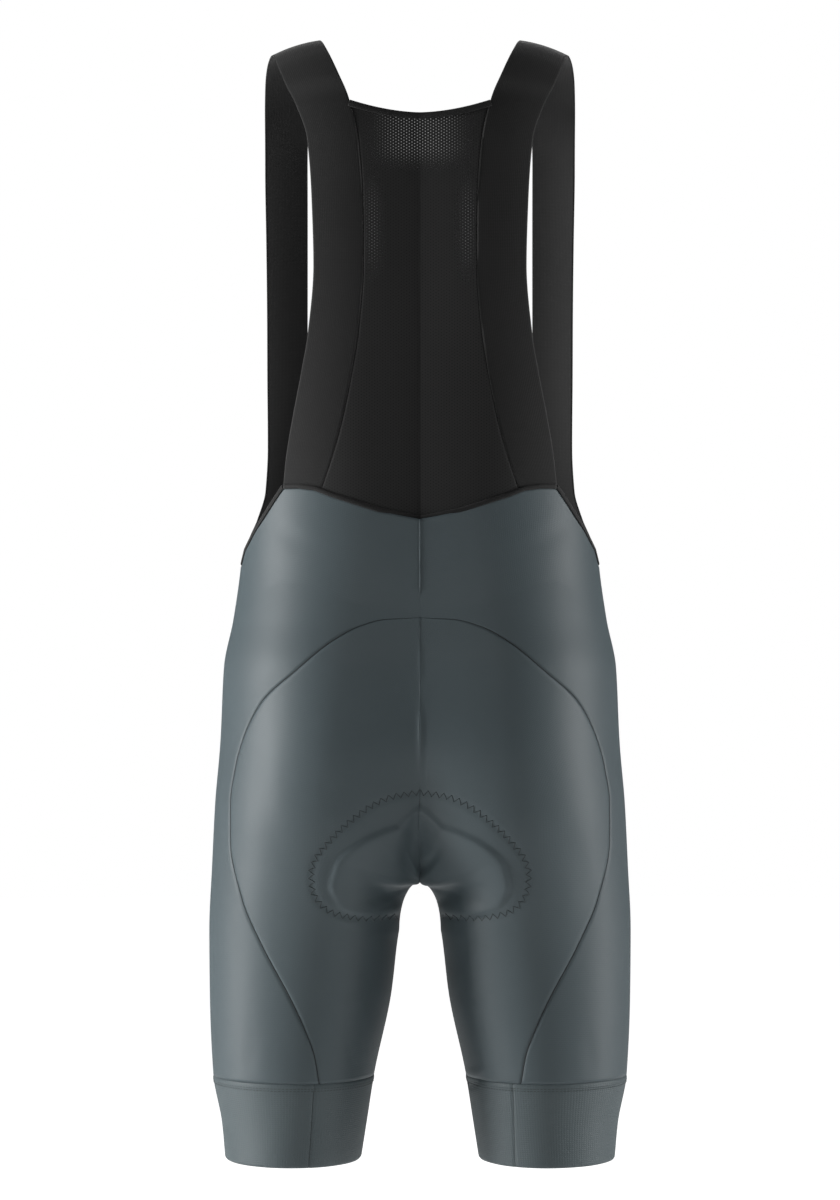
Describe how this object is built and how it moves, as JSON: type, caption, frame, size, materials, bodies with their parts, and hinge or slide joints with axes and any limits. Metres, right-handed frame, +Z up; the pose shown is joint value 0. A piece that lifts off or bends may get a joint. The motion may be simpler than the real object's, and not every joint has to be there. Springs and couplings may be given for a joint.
{
  "type": "cycling bib shorts",
  "caption": "Worn-shape grey cycling bib shorts with black shoulder straps, a mesh back panel, an oval seat panel with a stitched-in pad and wide leg bands.",
  "frame": {"origin": "on the centre plane, between the two straps, at the height of the wearer's shoulders", "axes": "+Z up, +Y to the wearer's front, +X to the wearer's right, which is the viewer's right from behind"},
  "size_m": [0.379, 0.2305, 1.0045],
  "materials": {
    "grey_jersey": "satin compression knit",
    "grey_band": "satin knit, close ribs",
    "black_strap": "matte knit",
    "black_mesh": "matte micro mesh",
    "black_binding": "matte elastic tape",
    "pad_foam": "matte knit over foam"
  },
  "bodies": {
    "root": {"seat_panel_left": "grey_jersey", "seat_panel_right": "grey_jersey", "side_panel_left": "grey_jersey", "side_panel_right": "grey_jersey", "front_panel_left": "grey_jersey", "front_panel_right": "grey_jersey", "leg_band_left": "grey_band", "leg_band_right": "grey_band", "strap_left": "black_strap", "strap_right": "black_strap", "opening_binding_left": "black_binding", "opening_binding_right": "black_binding", "back_mesh_panel": "black_mesh", "neck_binding": "black_binding", "waist_binding": "black_binding", "chamois_pad": "pad_foam"}
  },
  "joints": []
}
